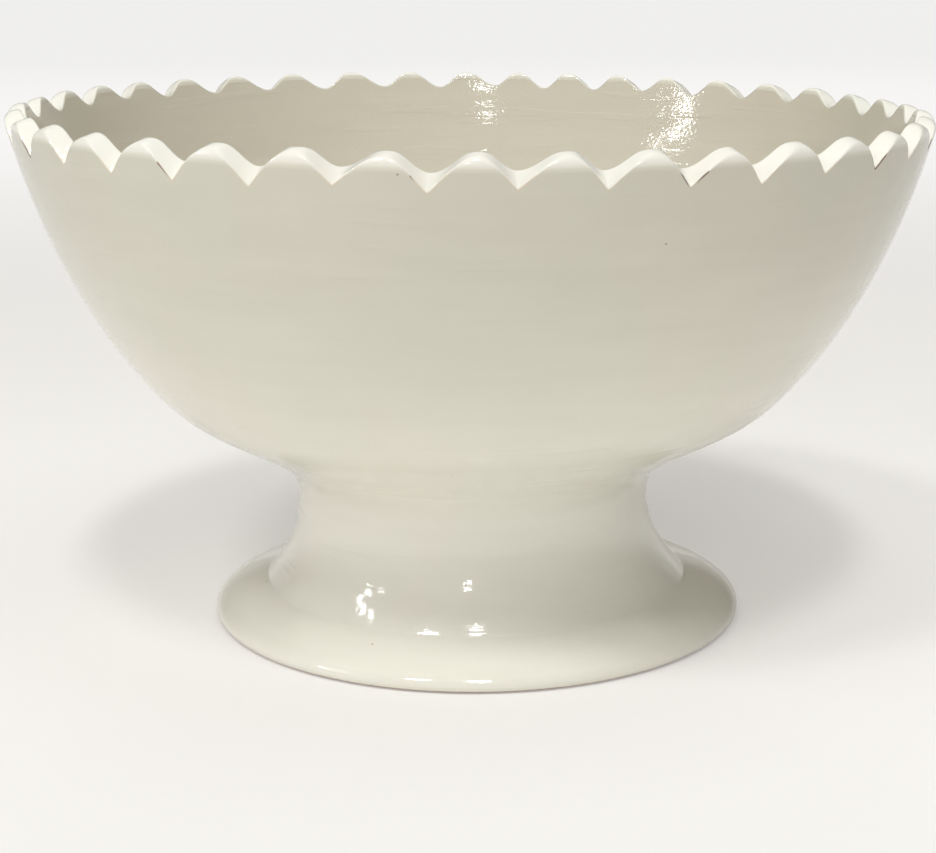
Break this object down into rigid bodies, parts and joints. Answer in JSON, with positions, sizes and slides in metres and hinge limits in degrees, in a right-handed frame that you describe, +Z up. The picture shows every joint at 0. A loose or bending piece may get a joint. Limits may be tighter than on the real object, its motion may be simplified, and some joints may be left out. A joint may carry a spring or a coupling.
{
  "type": "footed bowl",
  "caption": "Deep round ceramic bowl with a scalloped rim on a hollow flared pedestal foot, glazed white, for fruit or serving.",
  "frame": {"origin": "centre of the flat ring that the foot rests on", "axes": "+Z up along the axis that the dish was thrown on; -Y faces the viewer"},
  "size_m": [0.3093, 0.3101, 0.1772],
  "materials": {
    "bowl_glaze": "glossy warm white tin glaze over terracotta, thin on the sharp edges",
    "foot_glaze": "glossy warm white tin glaze, wiped off the resting ring",
    "coil_glaze": "glossy warm white tin glaze",
    "hollow_glaze": "thin uneven glaze inside the foot",
    "fired_slip": "unglazed fired slip, closed in the joint"
  },
  "bodies": {
    "root": {"bowl": "bowl_glaze", "pedestal_foot": "foot_glaze", "outer_luting_coil": "coil_glaze", "inner_luting_coil": "hollow_glaze", "luting_slip": "fired_slip"}
  },
  "joints": []
}
